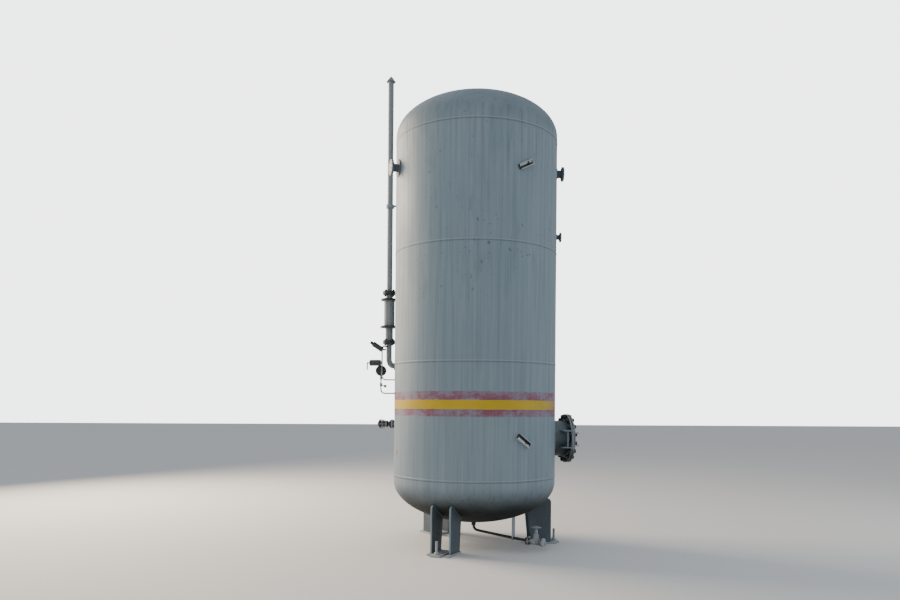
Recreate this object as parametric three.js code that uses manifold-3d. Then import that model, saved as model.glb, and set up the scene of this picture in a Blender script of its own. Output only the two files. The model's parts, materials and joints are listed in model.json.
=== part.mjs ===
// Vertical gas receiver tank on three plate legs, in millimetres with +Z up.
// X runs outwards along the manway's axis. An azimuth is an angle about Z from X, in degrees.
import * as THREE from "three";
import { mergeVertices } from "three/addons/utils/BufferGeometryUtils.js";
import Module from "manifold-3d";

const wasm = await Module();
wasm.setup();

// Driving dimensions of the vessel
const OUTER_R = 910;
const WALL = 10;
const COURSE = 1240;
const FIRST_SEAM_Z = 780;
const COURSES = 3;
const HEAD_DEPTH = 460;
const HEAD_FLANGE = 70;
const BEAD_PROUD = 3;
const BEAD_HALF_WIDTH = 10;
const ROUND_STEPS = 56;
const HEAD_STEPS = 7;
const LAST_SEAM_Z = FIRST_SEAM_Z + COURSES * COURSE;

// Gap between pieces that touch, how far joined bodies overlap, where a fitting is rooted
// before it is cut back to the shell, and how far a cutter overshoots
const GAP = 0.3;
const LAP = 5;
const ROOT_R = 880;
const BEYOND = 1400;

// Sides of round bodies, by size
const FINE = 8;
const SMALL = 12;
const MEDIUM = 16;
const LARGE = 20;
const MANWAY_SIDES = 32;
const COVER_SIDES = 40;

// Legs
const LEG_AZIMUTHS = [-124, -4, 116];
const RIB_THICKNESS = 20;
const RIB_SPACING = 215;
const RIB_OUTER_R = 870;
const RIB_FOOT_INNER_R = 641;
const RIB_HEAD_INNER_R = 591;
const RIB_TOP_Z = 515;
const RIB_CORNER_R = 45;
const FOOT_THICKNESS = 20;
const FOOT_STRIP = { innerR: 630, outerR: 930, half: 22 };
const FOOT_TIE_R = 720;
const ANCHOR_PAD = { outerR: 975, left: -75, right: 40 };

// Manway, with its cover hinged on a bracket beside the neck
const MANWAY_Z = 1190;
const NECK_R = 203;
const NECK_WALL = 10;
const NECK_ROOT_X = 866;
const COVER_R = 280;
const FLANGE_BACK = 1061;
const FLANGE_FACE = 1083;
const COVER_BACK = 1088;
const COVER_FACE = 1110;
const HINGE_X = 1055;
const HINGE_Y = -335;
const HINGE_PLATE = 12;
const PIN_R = 12;
const PIN_GAP = 0.5;
const PIN_PROUD = 14;
const KNUCKLE_R = 22;
const LUG = { z: 88, rootX: 955, backX: 985, shoulderX: 1055, nearY: -150, farY: -300, shoulderY: -295 };
const LUG_KNUCKLE = { from: -110, to: 40 };
const TIE = { x: 1011, y: -300, radius: 9 };
const ARM = { z: 64, depth: 26, bevel: 8, nearY: -150, faceY: -304, rimY: -312, tipY: -318, taper: 15 };
const ARM_KNUCKLE = { from: 90, to: 315 };

// Flanged nozzles, each closed by a blind flange
const UPPER_RIGHT = { azimuth: -9, z: 4200, stubR: 43, padR: 62, flangeR: 81, face: 980, thickness: 12 };
const LOWER_RIGHT = { azimuth: -9, z: 3482, stubR: 28, padR: 40, flangeR: 55, face: 961, thickness: 9 };
const UPPER_LEFT = { azimuth: -171, z: 4165, stubR: 43, padR: 95, flangeR: 86, face: 992, thickness: 12 };
const PAD_PROUD = 9;

// Short tilted channels on the front
const BRACKET = { azimuth: -67, length: 185, width: 54, depth: 34, wall: 5, web: 10, ribAt: 28, sunk: 30 };
const UPPER_BRACKET = { z: 4055, tilt: 27 };
const LOWER_BRACKET = { z: 1192, tilt: -35 };

// Vent stack. A step is a round body's radius, foot and top.
const VENT = { azimuth: 154, r: 1050, pipeR: 33, flangeR: 80, flangeZ: 2880, flangeDepth: 20, topZ: 5370 };
const RAIN_CAP = { footR: 56, topR: 12, height: 60 };
const CLAMP = { z: 3900, radius: 48, half: 20, strapHalf: 25, strapDepth: 6 };
const VENT_FOOT_Z = 2300;
const EXPANSION_STEPS = [
  [80, 2860, 2880],
  [40, 2800, 2870],
  [100, 2790, 2810],
  [63, 2480, 2800],
  [105, 2470, 2490],
  [45, 2310, 2480],
  [75, VENT_FOOT_Z, 2320],
];

// Safety valve: its steps are measured from its outlet's height
const SAFETY = { azimuth: 134, r: 1030, z: 2026 };
const SAFETY_STEPS = [
  [75, -140, -120],
  [38, -125, -40],
  [62, -60, 60],
  [78, 55, 75],
  [46, 70, 235],
  [28, 230, 290],
];
const OUTLET = { reach: 150, bodyR: 40, flangeR: 72, flangeDepth: 20, pipeR: 33, bend: 95, topFlangeR: 75 };
const INLET = { rootZ: 1690, pipeR: 34, bend: 70, flangeR: 75, flangeDepth: 20, padR: 75 };

// Pressure gauge on a line from the shell, and the pilot line that passes in front of it
const GAUGE = { azimuth: 158, r: 1120, z: 1960, dialR: 62, half: 22, neckR: 12, stand: 45 };
const GAUGE_LINE = { radius: 8, rootZ: 1695, bend: 50, rosetteR: 22, rosetteX: 950 };
const GAUGE_COCK = { radius: 15, footZ: 1776, topZ: 1814 };
const COCK_LEVER = { z: 1795, radius: 6, reach: 40, drop: 12, knobR: 16, knob: 26 };
const PILOT = { x: 1093, y: 48, radius: 8, topZ: 2246, rootZ: 1851, bend: 55, gap: 0.6 };
const TILTED_VALVE = { z: 2203, radius: 30, reach: 108, rise: 69, capR: 18, capReach: 138, capRise: 88 };
const TILTED_VALVE_TAIL = { radius: 9, reach: 45 };
const LEVEL_VALVE = { z: 2050, neckR: 14, bodyR: 36, bodyNear: 20, bodyFar: 145 };
const LEVEL_VALVE_STEM = { radius: 7, reach: 181, handle: 80 };

// Handwheels and their stems
const WHEEL = { radius: 54, rimR: 5, spokeR: 4, hubWall: 7, hubHalf: 9, bore: 0.5, turns: [0, 90] };
const STEM_R = 8;
const STEM_PROUD = 16;

// Gas outlet valve: its stem and handwheel look along the shell
const GAS = { azimuth: 161, z: 1340, r: 1050, flangeR: 52, flangeDepth: 15, boreR: 24, bodyR: 38, bodyHalf: 36 };
const GAS_NOZZLE_FACE = 965;
const GAS_OUTLET_FACE = 1115;
const GAS_BONNET = { radius: 26, reach: 78, stemFrom: 60, wheelAt: 128 };

// Drain from the vessel's lowest point to a valve near its edge
const DRAIN = { azimuth: -47, pipeR: 15, bend: 60, bossR: 26, bossZ: 200, rootZ: 300, dropZ: 150 };
const DRAIN_RUN = { x: 560, rise: 6, flangeDepth: 13 };
const DRAIN_VALVE = { r: 830, z: 106, inlet: 94, outlet: 93, flangeR: 47, flangeDepth: 14, boreR: 20 };
const DRAIN_BODY = { radius: 38, half: 45, bonnetR: 28, bonnetZ: 80, yokeR: 17, yokeZ: 126, wheelZ: 154 };
const HANGER = { x: 540, thickness: 8, half: 28, footZ: 90, topZ: 400 };

const radians = THREE.MathUtils.degToRad;
const point = (x, y, z) => new THREE.Vector3(x, y, z);

// Materials
const paint = (color, roughness, metalness) => new THREE.MeshStandardMaterial({ color, roughness, metalness });
const slatePaint = () => paint(0x8f9aa4, 0.62, 0.1);
const palePlate = () => paint(0xa3aaae, 0.7, 0.1);
const greyPipe = () => paint(0x7d868d, 0.55, 0.3);
const castIron = () => paint(0x3c4042, 0.7, 0.4);
const blackCase = () => paint(0x1c1d1f, 0.5, 0.1);
const bareSteel = () => paint(0x9a9c9b, 0.4, 0.85);

// Solids from three.js shapes: one closed body with its faces outwards
function solid(geometry) {
  const loose = geometry.index ? geometry.toNonIndexed() : geometry.clone();
  loose.deleteAttribute("normal");
  loose.deleteAttribute("uv");
  const merged = mergeVertices(loose, 1e-3);
  const faces = [];
  for (let i = 0; i < merged.index.count; i += 3) {
    const [a, b, c] = [0, 1, 2].map((k) => merged.index.getX(i + k));
    if (a !== b && b !== c && c !== a) faces.push([a, b, c]);
  }
  const build = (list) =>
    new wasm.Manifold(
      new wasm.Mesh({
        numProp: 3,
        vertProperties: merged.attributes.position.array,
        triVerts: new Uint32Array(list.flat()),
      }),
    );
  const made = build(faces);
  return made.volume() > 0 ? made : build(faces.map(([a, b, c]) => [a, c, b]));
}

const join = (first, ...others) => others.reduce((sum, next) => sum.add(next), first);

// A solid of revolution about Z from [radius, height] points that close or end on the axis
function turned(profile, steps = ROUND_STEPS) {
  const points = profile.map(([r, z]) => new THREE.Vector2(r, z));
  if (profile[0][0] > 0) points.push(points[0].clone());
  return new THREE.LatheGeometry(points, steps).rotateX(Math.PI / 2);
}

// A round bar between two points, or a cone where the end has a radius of its own
function bar(radius, from, to, sides = MEDIUM, endRadius = radius) {
  const along = to.clone().sub(from);
  const geometry = new THREE.CylinderGeometry(endRadius, radius, along.length(), sides);
  geometry.applyQuaternion(new THREE.Quaternion().setFromUnitVectors(point(0, 1, 0), along.clone().normalize()));
  const middle = from.clone().add(to).multiplyScalar(0.5);
  return solid(geometry.translate(middle.x, middle.y, middle.z));
}

const upright = (radius, x, y, low, high, sides = MEDIUM, endRadius = radius) =>
  bar(radius, point(x, y, low), point(x, y, high), sides, endRadius);
const outwards = (radius, near, far, y, z, sides = MEDIUM) =>
  bar(radius, point(near, y, z), point(far, y, z), sides);

// Upright round steps on one axis, from rows of radius, foot and top
const stepped = (x, rise, rows) =>
  join(...rows.map(([radius, low, high]) => upright(radius, x, 0, rise + low, rise + high, LARGE)));

// A block between two opposite corners
function block([x0, y0, z0], [x1, y1, z1]) {
  const geometry = new THREE.BoxGeometry(x1 - x0, y1 - y0, z1 - z0);
  return solid(geometry.translate((x0 + x1) / 2, (y0 + y1) / 2, (z0 + z1) / 2));
}

// A flat plate: an outline in XY, from one height to another
function plate(outline, low, high) {
  const shape = new THREE.Shape(outline.map(([x, y]) => new THREE.Vector2(x, y)));
  const geometry = new THREE.ExtrudeGeometry(shape, { depth: high - low, bevelEnabled: false });
  return geometry.translate(0, 0, low);
}

function arc(x, y, radius, { from, to }, steps) {
  return Array.from({ length: steps + 1 }, (_, i) => {
    const angle = radians(from + ((to - from) * i) / steps);
    return [x + radius * Math.cos(angle), y + radius * Math.sin(angle)];
  });
}

// A pipe's centre line: straight runs with a rounded bend at each inner corner
class Route extends THREE.Curve {
  constructor(corners, bend, steps = 5) {
    super();
    const longest = 0.45;
    this.stops = [corners[0]];
    corners.slice(1, -1).forEach((corner, i) => {
      const before = corners[i].clone().sub(corner);
      const after = corners[i + 2].clone().sub(corner);
      const reach = Math.min(bend, before.length() * longest, after.length() * longest);
      const start = corner.clone().add(before.setLength(reach));
      const end = corner.clone().add(after.setLength(reach));
      const curve = new THREE.QuadraticBezierCurve3(start, corner, end);
      this.stops.push(...curve.getPoints(steps));
    });
    this.stops.push(corners.at(-1));
  }
  get runs() {
    return this.stops.length - 1;
  }
  getPoint(t) {
    const place = t * this.runs;
    const i = Math.min(Math.floor(place + 1e-9), this.runs - 1);
    return this.stops[i].clone().lerp(this.stops[i + 1], place - i);
  }
  getPointAt(u) {
    return this.getPoint(u);
  }
  getTangentAt(u) {
    const i = Math.round(u * this.runs);
    const back = this.stops[Math.max(i - 1, 0)];
    const here = this.stops[i];
    const front = this.stops[Math.min(i + 1, this.runs)];
    const tangent = here.clone().sub(back).normalize().add(front.clone().sub(here).normalize());
    return tangent.normalize();
  }
}

function pipe(radius, corners, bend, sides = SMALL) {
  const route = new Route(corners, bend);
  const shape = new THREE.Shape().absarc(0, 0, radius, 0, Math.PI * 2);
  const geometry = new THREE.ExtrudeGeometry(shape, {
    steps: route.runs,
    curveSegments: sides,
    extrudePath: route,
    bevelEnabled: false,
  });
  return solid(geometry);
}

// A handwheel in the XY plane: a rim, four spokes and a hub, with a hole for its stem
function wheel() {
  const { radius, rimR, spokeR, hubWall, hubHalf, bore, turns } = WHEEL;
  const rim = solid(new THREE.TorusGeometry(radius - rimR, rimR, FINE, LARGE));
  const spokes = turns.map((turn) => {
    const tip = point(Math.cos(radians(turn)), Math.sin(radians(turn)), 0).multiplyScalar(radius - rimR);
    return bar(spokeR, tip.clone().negate(), tip, FINE);
  });
  const hub = upright(STEM_R + hubWall, 0, 0, -hubHalf, hubHalf, SMALL);
  return join(rim, ...spokes, hub).subtract(upright(STEM_R + bore, 0, 0, -BEYOND, BEYOND, SMALL));
}

function toGeometry(made) {
  const mesh = made.getMesh();
  const geometry = new THREE.BufferGeometry();
  geometry.setAttribute("position", new THREE.BufferAttribute(new Float32Array(mesh.vertProperties), 3));
  geometry.setIndex(new THREE.BufferAttribute(new Uint32Array(mesh.triVerts), 1));
  geometry.computeVertexNormals();
  return geometry;
}

function named(name, made, material) {
  const mesh = new THREE.Mesh(toGeometry(made), material);
  mesh.name = name;
  return mesh;
}

// A group turned to an azimuth, in which X runs outwards from the tank's axis
function station(azimuth, ...meshes) {
  const group = new THREE.Group();
  group.rotation.z = radians(azimuth);
  group.add(...meshes);
  return group;
}

// The vessel
function headOutline(radius, depth, tangentZ, side) {
  return Array.from({ length: HEAD_STEPS + 1 }, (_, i) => {
    const angle = (Math.PI / 2) * (i / HEAD_STEPS);
    const r = i === 0 ? 0 : radius * Math.sin(angle);
    return [r, tangentZ + side * depth * Math.cos(angle)];
  });
}

function head(seamZ, side) {
  const tangentZ = seamZ + side * HEAD_FLANGE;
  const outside = headOutline(OUTER_R, HEAD_DEPTH, tangentZ, side);
  const inside = headOutline(OUTER_R - WALL, HEAD_DEPTH - WALL, tangentZ, side);
  const rim = [
    [OUTER_R, seamZ + side * BEAD_HALF_WIDTH],
    [OUTER_R + BEAD_PROUD, seamZ],
    [OUTER_R - WALL, seamZ],
  ];
  return solid(turned([...outside, ...rim, ...inside.reverse()]));
}

function course(number) {
  const low = FIRST_SEAM_Z + number * COURSE;
  const high = low + COURSE;
  return solid(
    turned([
      [OUTER_R - WALL, low],
      [OUTER_R + BEAD_PROUD, low],
      [OUTER_R, low + BEAD_HALF_WIDTH],
      [OUTER_R, high - BEAD_HALF_WIDTH],
      [OUTER_R + BEAD_PROUD, high],
      [OUTER_R - WALL, high],
    ]),
  );
}

function lowerCourse() {
  return course(0).subtract(outwards(NECK_R + GAP, OUTER_R / 2, BEYOND, 0, MANWAY_Z, MANWAY_SIDES));
}

// Everything that lies within the vessel's outside and a small gap, seen from a station
function tankBody(azimuth) {
  const radius = OUTER_R + GAP;
  const low = headOutline(radius, HEAD_DEPTH + GAP, FIRST_SEAM_Z - HEAD_FLANGE, -1);
  const high = headOutline(radius, HEAD_DEPTH + GAP, LAST_SEAM_Z + HEAD_FLANGE, 1);
  return solid(turned([...low, ...high.reverse()]).rotateZ(-radians(azimuth)));
}

const clearOfTank = (made, azimuth) => made.subtract(tankBody(azimuth));

// Legs: a pair of upright ribs, their heads cut to the bottom head, on a forked foot plate
function rib(azimuth, side) {
  const quarter = { from: 0, to: 90 };
  const outline = [
    [RIB_FOOT_INNER_R, FOOT_THICKNESS],
    [RIB_OUTER_R, FOOT_THICKNESS],
    ...arc(RIB_OUTER_R - RIB_CORNER_R, RIB_TOP_Z - RIB_CORNER_R, RIB_CORNER_R, quarter, 4),
    [RIB_HEAD_INNER_R, RIB_TOP_Z],
  ];
  const middle = (side * RIB_SPACING) / 2;
  const flat = plate(outline, -RIB_THICKNESS / 2, RIB_THICKNESS / 2);
  return clearOfTank(solid(flat.rotateX(Math.PI / 2).translate(0, middle, 0)), azimuth);
}

// A strip under each rib and a longer pad between them for the anchor bolt, joined at the back
function footPlate() {
  const { innerR, outerR, half } = FOOT_STRIP;
  const ribY = RIB_SPACING / 2;
  const strip = (left, right, reach) => block([innerR, left, 0], [reach, right, FOOT_THICKNESS]);
  return join(
    strip(-ribY - half, half - ribY, outerR),
    strip(ribY - half, ribY + half, outerR),
    strip(ANCHOR_PAD.left, ANCHOR_PAD.right, ANCHOR_PAD.outerR),
    strip(-ribY, ribY, FOOT_TIE_R),
  );
}

function leg(azimuth, number) {
  return station(
    azimuth,
    named(`leg_${number}_foot_plate`, footPlate(), palePlate()),
    named(`leg_${number}_left_rib`, rib(azimuth, -1), slatePaint()),
    named(`leg_${number}_right_rib`, rib(azimuth, 1), slatePaint()),
  );
}

// Manway
const knuckle = (angles) => arc(HINGE_X, HINGE_Y, KNUCKLE_R, angles, 8);
const pinHole = (gap) => upright(PIN_R + gap, HINGE_X, HINGE_Y, 0, BEYOND + MANWAY_Z);

// The bracket's plates run from the neck to the pin, behind the flange's rim
function hingeBracket() {
  const outline = [
    [LUG.rootX, LUG.nearY],
    [LUG.rootX, LUG.farY],
    ...knuckle(LUG_KNUCKLE),
    [LUG.shoulderX, LUG.shoulderY],
    [LUG.backX, LUG.nearY],
  ];
  const reach = LUG.z + HINGE_PLATE;
  const upper = solid(plate(outline, MANWAY_Z + LUG.z, MANWAY_Z + reach));
  const lower = solid(plate(outline, MANWAY_Z - reach, MANWAY_Z - LUG.z));
  const tie = upright(TIE.radius, TIE.x, TIE.y, MANWAY_Z - reach + 1, MANWAY_Z + reach - 1, SMALL);
  const neckBody = outwards(NECK_R + GAP, 0, BEYOND, 0, MANWAY_Z, MANWAY_SIDES);
  return join(upper, lower, tie).subtract(neckBody).subtract(pinHole(GAP));
}

// An arm lies on the cover's face and reaches round its rim to the pin
function coverArm(low) {
  const tipX = COVER_FACE + ARM.depth;
  const outline = [
    [COVER_FACE + GAP, ARM.nearY],
    [COVER_FACE + GAP, ARM.faceY],
    [COVER_BACK, ARM.rimY],
    ...knuckle(ARM_KNUCKLE),
    [tipX - ARM.bevel, HINGE_Y],
    [tipX, ARM.tipY],
    [tipX, ARM.nearY - ARM.taper],
  ];
  return solid(plate(outline, MANWAY_Z + low, MANWAY_Z + low + HINGE_PLATE)).subtract(pinHole(PIN_GAP));
}

function manway() {
  const z = MANWAY_Z;
  const bore = outwards(NECK_R - NECK_WALL, 0, BEYOND, 0, z, MANWAY_SIDES);
  const neck = outwards(NECK_R, NECK_ROOT_X, FLANGE_BACK, 0, z, MANWAY_SIDES).subtract(bore);
  const flange = outwards(COVER_R, FLANGE_BACK, FLANGE_FACE, 0, z, COVER_SIDES).subtract(bore);
  const cover = outwards(COVER_R, COVER_BACK, COVER_FACE, 0, z, COVER_SIDES);
  const pinReach = LUG.z + HINGE_PLATE + PIN_PROUD;
  return station(
    0,
    named("manway_neck", neck, slatePaint()),
    named("manway_flange", flange, castIron()),
    named("manway_cover", cover, greyPipe()),
    named("hinge_bracket", hingeBracket(), slatePaint()),
    named("cover_arm_upper", coverArm(ARM.z), greyPipe()),
    named("cover_arm_lower", coverArm(-ARM.z - HINGE_PLATE), greyPipe()),
    named("hinge_pin", upright(PIN_R, HINGE_X, HINGE_Y, z - pinReach, z + pinReach), bareSteel()),
  );
}

// Nozzles: a pad on the shell, a stub and a flange closed by a blind flange
function blindNozzle(name, { azimuth, z, stubR, padR, flangeR, face, thickness }) {
  const back = face - thickness;
  const nozzle = join(
    outwards(stubR, ROOT_R, back + LAP, 0, z),
    outwards(padR, ROOT_R, OUTER_R + PAD_PROUD, 0, z, LARGE),
    outwards(flangeR, back, face, 0, z, LARGE),
  );
  const blind = outwards(flangeR, face + GAP, face + GAP + thickness, 0, z, LARGE);
  return station(
    azimuth,
    named(name, clearOfTank(nozzle, azimuth), slatePaint()),
    named(`${name}_blind_flange`, blind, greyPipe()),
  );
}

// Short tilted channels with their open side outwards and a rib across
function tiltedBracket(name, { z, tilt }) {
  const { azimuth, length, width, depth, wall, web, ribAt, sunk } = BRACKET;
  const half = width / 2;
  const body = block([-sunk, -length / 2, -half], [depth, length / 2, half]);
  const recess = block([web, -length, wall - half], [BEYOND, length, half - wall]);
  const rib = block([0, ribAt, -half], [depth - wall, ribAt + wall, half]);
  const placed = join(body.subtract(recess), rib).rotate([tilt, 0, 0]).translate([OUTER_R, 0, z]);
  return station(azimuth, named(name, clearOfTank(placed, azimuth), palePlate()));
}

// Vent stack: pipe with a rain cap, clamp and expansion cylinder
function ventStack() {
  const { azimuth, r, pipeR, flangeR, flangeZ, flangeDepth, topZ } = VENT;
  const stack = join(
    upright(pipeR, r, 0, flangeZ, topZ),
    upright(flangeR, r, 0, flangeZ, flangeZ + flangeDepth, LARGE),
  );
  const cap = upright(RAIN_CAP.footR, r, 0, topZ, topZ + RAIN_CAP.height, MEDIUM, RAIN_CAP.topR);
  const strapLow = CLAMP.z - CLAMP.strapDepth;
  const strap = block([ROOT_R, -CLAMP.strapHalf, strapLow], [r, CLAMP.strapHalf, CLAMP.z + CLAMP.strapDepth]);
  const ring = upright(CLAMP.radius, r, 0, CLAMP.z - CLAMP.half, CLAMP.z + CLAMP.half);
  const clamp = join(ring, strap).subtract(upright(pipeR + GAP, r, 0, 0, topZ));
  return station(
    azimuth,
    named("vent_pipe", stack, greyPipe()),
    named("vent_rain_cap", cap, greyPipe()),
    named("vent_bracket", clearOfTank(clamp, azimuth), slatePaint()),
    named("vent_expansion_cylinder", stepped(r, 0, EXPANSION_STEPS), greyPipe()),
  );
}

// Safety valve in a frame of its own, in which its outlet looks along X towards the vent's foot
function safetyValve() {
  const polar = (r, azimuth) => point(r * Math.cos(radians(azimuth)), r * Math.sin(radians(azimuth)), 0);
  const valveAt = polar(SAFETY.r, SAFETY.azimuth);
  const across = polar(VENT.r, VENT.azimuth).sub(valveAt);
  const ventX = across.length();
  const z = SAFETY.z;
  const { reach, bodyR, flangeR, flangeDepth, pipeR, bend, topFlangeR } = OUTLET;
  const valve = join(
    stepped(0, z, SAFETY_STEPS),
    outwards(bodyR, 0, reach - LAP, 0, z),
    outwards(flangeR, reach - flangeDepth, reach, 0, z, LARGE),
  );
  const corners = [point(reach + LAP, 0, z), point(ventX, 0, z), point(ventX, 0, VENT_FOOT_Z - LAP)];
  const outlet = join(
    outwards(flangeR, reach + GAP, reach + flangeDepth, 0, z, LARGE),
    pipe(pipeR, corners, bend),
    upright(topFlangeR, ventX, 0, VENT_FOOT_Z - flangeDepth, VENT_FOOT_Z, LARGE),
  );
  const frame = new THREE.Group();
  frame.position.copy(valveAt);
  frame.rotation.z = Math.atan2(across.y, across.x);
  frame.add(named("safety_valve", valve, greyPipe()), named("safety_valve_outlet_pipe", outlet, greyPipe()));

  const topZ = z + SAFETY_STEPS[0][1];
  const inletCorners = [
    point(SAFETY.r, 0, topZ - LAP),
    point(SAFETY.r, 0, INLET.rootZ),
    point(ROOT_R, 0, INLET.rootZ),
  ];
  const inlet = join(
    upright(INLET.flangeR, SAFETY.r, 0, topZ - INLET.flangeDepth, topZ, LARGE),
    pipe(INLET.pipeR, inletCorners, INLET.bend),
    outwards(INLET.padR, ROOT_R, OUTER_R + PAD_PROUD, 0, INLET.rootZ, LARGE),
  );
  const seat = station(
    SAFETY.azimuth,
    named("safety_valve_nozzle", clearOfTank(inlet, SAFETY.azimuth), slatePaint()),
  );
  return [frame, seat];
}

// Gauge line from the shell, with its cock and lever
function gaugeLine() {
  const { r, z, dialR, stand } = GAUGE;
  const { radius, rootZ, bend, rosetteR, rosetteX } = GAUGE_LINE;
  const { reach, drop, knob } = COCK_LEVER;
  const top = z - dialR - stand;
  const lever = point(-reach, 0, -drop);
  const leverRoot = point(r, 0, COCK_LEVER.z);
  const leverTip = leverRoot.clone().add(lever);
  const knobTip = leverTip.clone().add(lever.clone().setLength(knob));
  return join(
    pipe(radius, [point(ROOT_R, 0, rootZ), point(r, 0, rootZ), point(r, 0, top)], bend, FINE),
    outwards(rosetteR, ROOT_R, rosetteX, 0, rootZ, SMALL),
    upright(GAUGE_COCK.radius, r, 0, GAUGE_COCK.footZ, GAUGE_COCK.topZ, SMALL),
    bar(COCK_LEVER.radius, leverRoot, leverTip, FINE),
    bar(COCK_LEVER.knobR, leverTip, knobTip, SMALL),
  );
}

// Pilot line from the vent's foot to the shell, with a tilted and a level valve on it
function pilotLine() {
  const { x, y, radius, topZ, rootZ, bend, gap } = PILOT;
  const turn = radians(VENT.azimuth - GAUGE.azimuth);
  const ventAxis = point(VENT.r * Math.cos(turn), VENT.r * Math.sin(turn), topZ);
  const corner = point(x, y, topZ);
  const start = ventAxis.clone().add(corner.clone().sub(ventAxis).setLength(OUTLET.pipeR + gap));
  const along = (offset, z) => point(x + offset, y, z);
  const tilted = TILTED_VALVE;
  const level = LEVEL_VALVE;
  const stem = LEVEL_VALVE_STEM;
  return join(
    pipe(radius, [start, corner, point(x, y, rootZ), point(ROOT_R, y, rootZ)], bend, FINE),
    bar(tilted.radius, along(0, tilted.z), along(tilted.reach, tilted.z + tilted.rise), SMALL),
    bar(tilted.capR, along(0, tilted.z), along(tilted.capReach, tilted.z + tilted.capRise), SMALL),
    bar(TILTED_VALVE_TAIL.radius, along(0, tilted.z), along(-TILTED_VALVE_TAIL.reach, tilted.z), FINE),
    bar(level.neckR, along(0, level.z), along(level.bodyFar, level.z), SMALL),
    bar(level.bodyR, along(level.bodyNear, level.z), along(level.bodyFar, level.z), MEDIUM),
    bar(stem.radius, along(level.bodyNear, level.z), along(stem.reach, level.z), FINE),
    bar(stem.radius, along(stem.reach, level.z + stem.radius), along(stem.reach, level.z - stem.handle), FINE),
  );
}

function gauge() {
  const { azimuth, r, z, dialR, half, neckR, stand } = GAUGE;
  const neck = upright(neckR, r, 0, z - dialR - stand + GAP, z, SMALL);
  const dial = bar(dialR, point(r, -half, z), point(r, half, z), LARGE);
  return station(
    azimuth,
    named("gauge_pipe", clearOfTank(gaugeLine(), azimuth), bareSteel()),
    named("pilot_line", clearOfTank(pilotLine(), azimuth), bareSteel()),
    named("gauge", join(dial, neck), blackCase()),
  );
}

function gasValve() {
  const { azimuth, z, r, flangeR, flangeDepth, boreR, bodyR, bodyHalf } = GAS;
  const nozzle = join(
    outwards(boreR, ROOT_R, GAS_NOZZLE_FACE - LAP, 0, z, SMALL),
    outwards(flangeR, GAS_NOZZLE_FACE - flangeDepth, GAS_NOZZLE_FACE, 0, z, LARGE),
  );
  const inlet = GAS_NOZZLE_FACE + GAP;
  const body = join(
    outwards(flangeR, inlet, inlet + flangeDepth, 0, z, LARGE),
    outwards(boreR, inlet + LAP, GAS_OUTLET_FACE - LAP, 0, z, SMALL),
    outwards(bodyR, r - bodyHalf, r + bodyHalf, 0, z),
    outwards(flangeR, GAS_OUTLET_FACE - flangeDepth, GAS_OUTLET_FACE, 0, z, LARGE),
    bar(GAS_BONNET.radius, point(r, 0, z), point(r, GAS_BONNET.reach, z), SMALL),
    bar(STEM_R, point(r, GAS_BONNET.stemFrom, z), point(r, GAS_BONNET.wheelAt + STEM_PROUD, z), SMALL),
  );
  const ring = named("gas_valve_handwheel", wheel(), greyPipe());
  ring.position.set(r, GAS_BONNET.wheelAt, z);
  ring.rotation.x = -Math.PI / 2;
  return station(
    azimuth,
    named("gas_nozzle", clearOfTank(nozzle, azimuth), slatePaint()),
    named("gas_valve", body, castIron()),
    ring,
  );
}

// Drain pipe, its hanger under the bottom head, and its valve
function drain() {
  const { azimuth, pipeR, bend, bossR, bossZ, rootZ, dropZ } = DRAIN;
  const { r, z, flangeR, flangeDepth, boreR } = DRAIN_VALVE;
  const inletFace = r - DRAIN_VALVE.inlet;
  const outletFace = r + DRAIN_VALVE.outlet;
  const corners = [
    point(0, 0, rootZ),
    point(0, 0, dropZ),
    point(DRAIN_RUN.x, 0, z + DRAIN_RUN.rise),
    point(inletFace - LAP, 0, z),
  ];
  const line = join(
    pipe(pipeR, corners, bend),
    upright(bossR, 0, 0, bossZ, rootZ),
    outwards(flangeR, inletFace - DRAIN_RUN.flangeDepth, inletFace - GAP, 0, z, LARGE),
  );
  const near = HANGER.x - HANGER.thickness / 2;
  const strip = block([near, -HANGER.half, HANGER.footZ], [near + HANGER.thickness, HANGER.half, HANGER.topZ]);
  const hanger = strip.subtract(pipe(pipeR + GAP, corners, bend));
  const { radius, half, bonnetR, bonnetZ, yokeR, yokeZ, wheelZ } = DRAIN_BODY;
  const valve = join(
    outwards(flangeR, inletFace, inletFace + flangeDepth, 0, z, LARGE),
    outwards(boreR, inletFace + LAP, outletFace - LAP, 0, z, SMALL),
    outwards(radius, r - half, r + half, 0, z),
    outwards(flangeR, outletFace - flangeDepth, outletFace, 0, z, LARGE),
    upright(bonnetR, r, 0, z, z + bonnetZ, SMALL),
    upright(yokeR, r, 0, z + bonnetZ - LAP, z + yokeZ, SMALL),
    upright(STEM_R, r, 0, z + bonnetZ, z + wheelZ + STEM_PROUD, SMALL),
  );
  const ring = named("drain_valve_handwheel", wheel(), palePlate());
  ring.position.set(r, 0, z + wheelZ);
  return station(
    azimuth,
    named("drain_pipe", clearOfTank(line, azimuth), castIron()),
    named("drain_hanger", clearOfTank(hanger, azimuth), palePlate()),
    named("drain_valve", valve, palePlate()),
    ring,
  );
}

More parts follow.
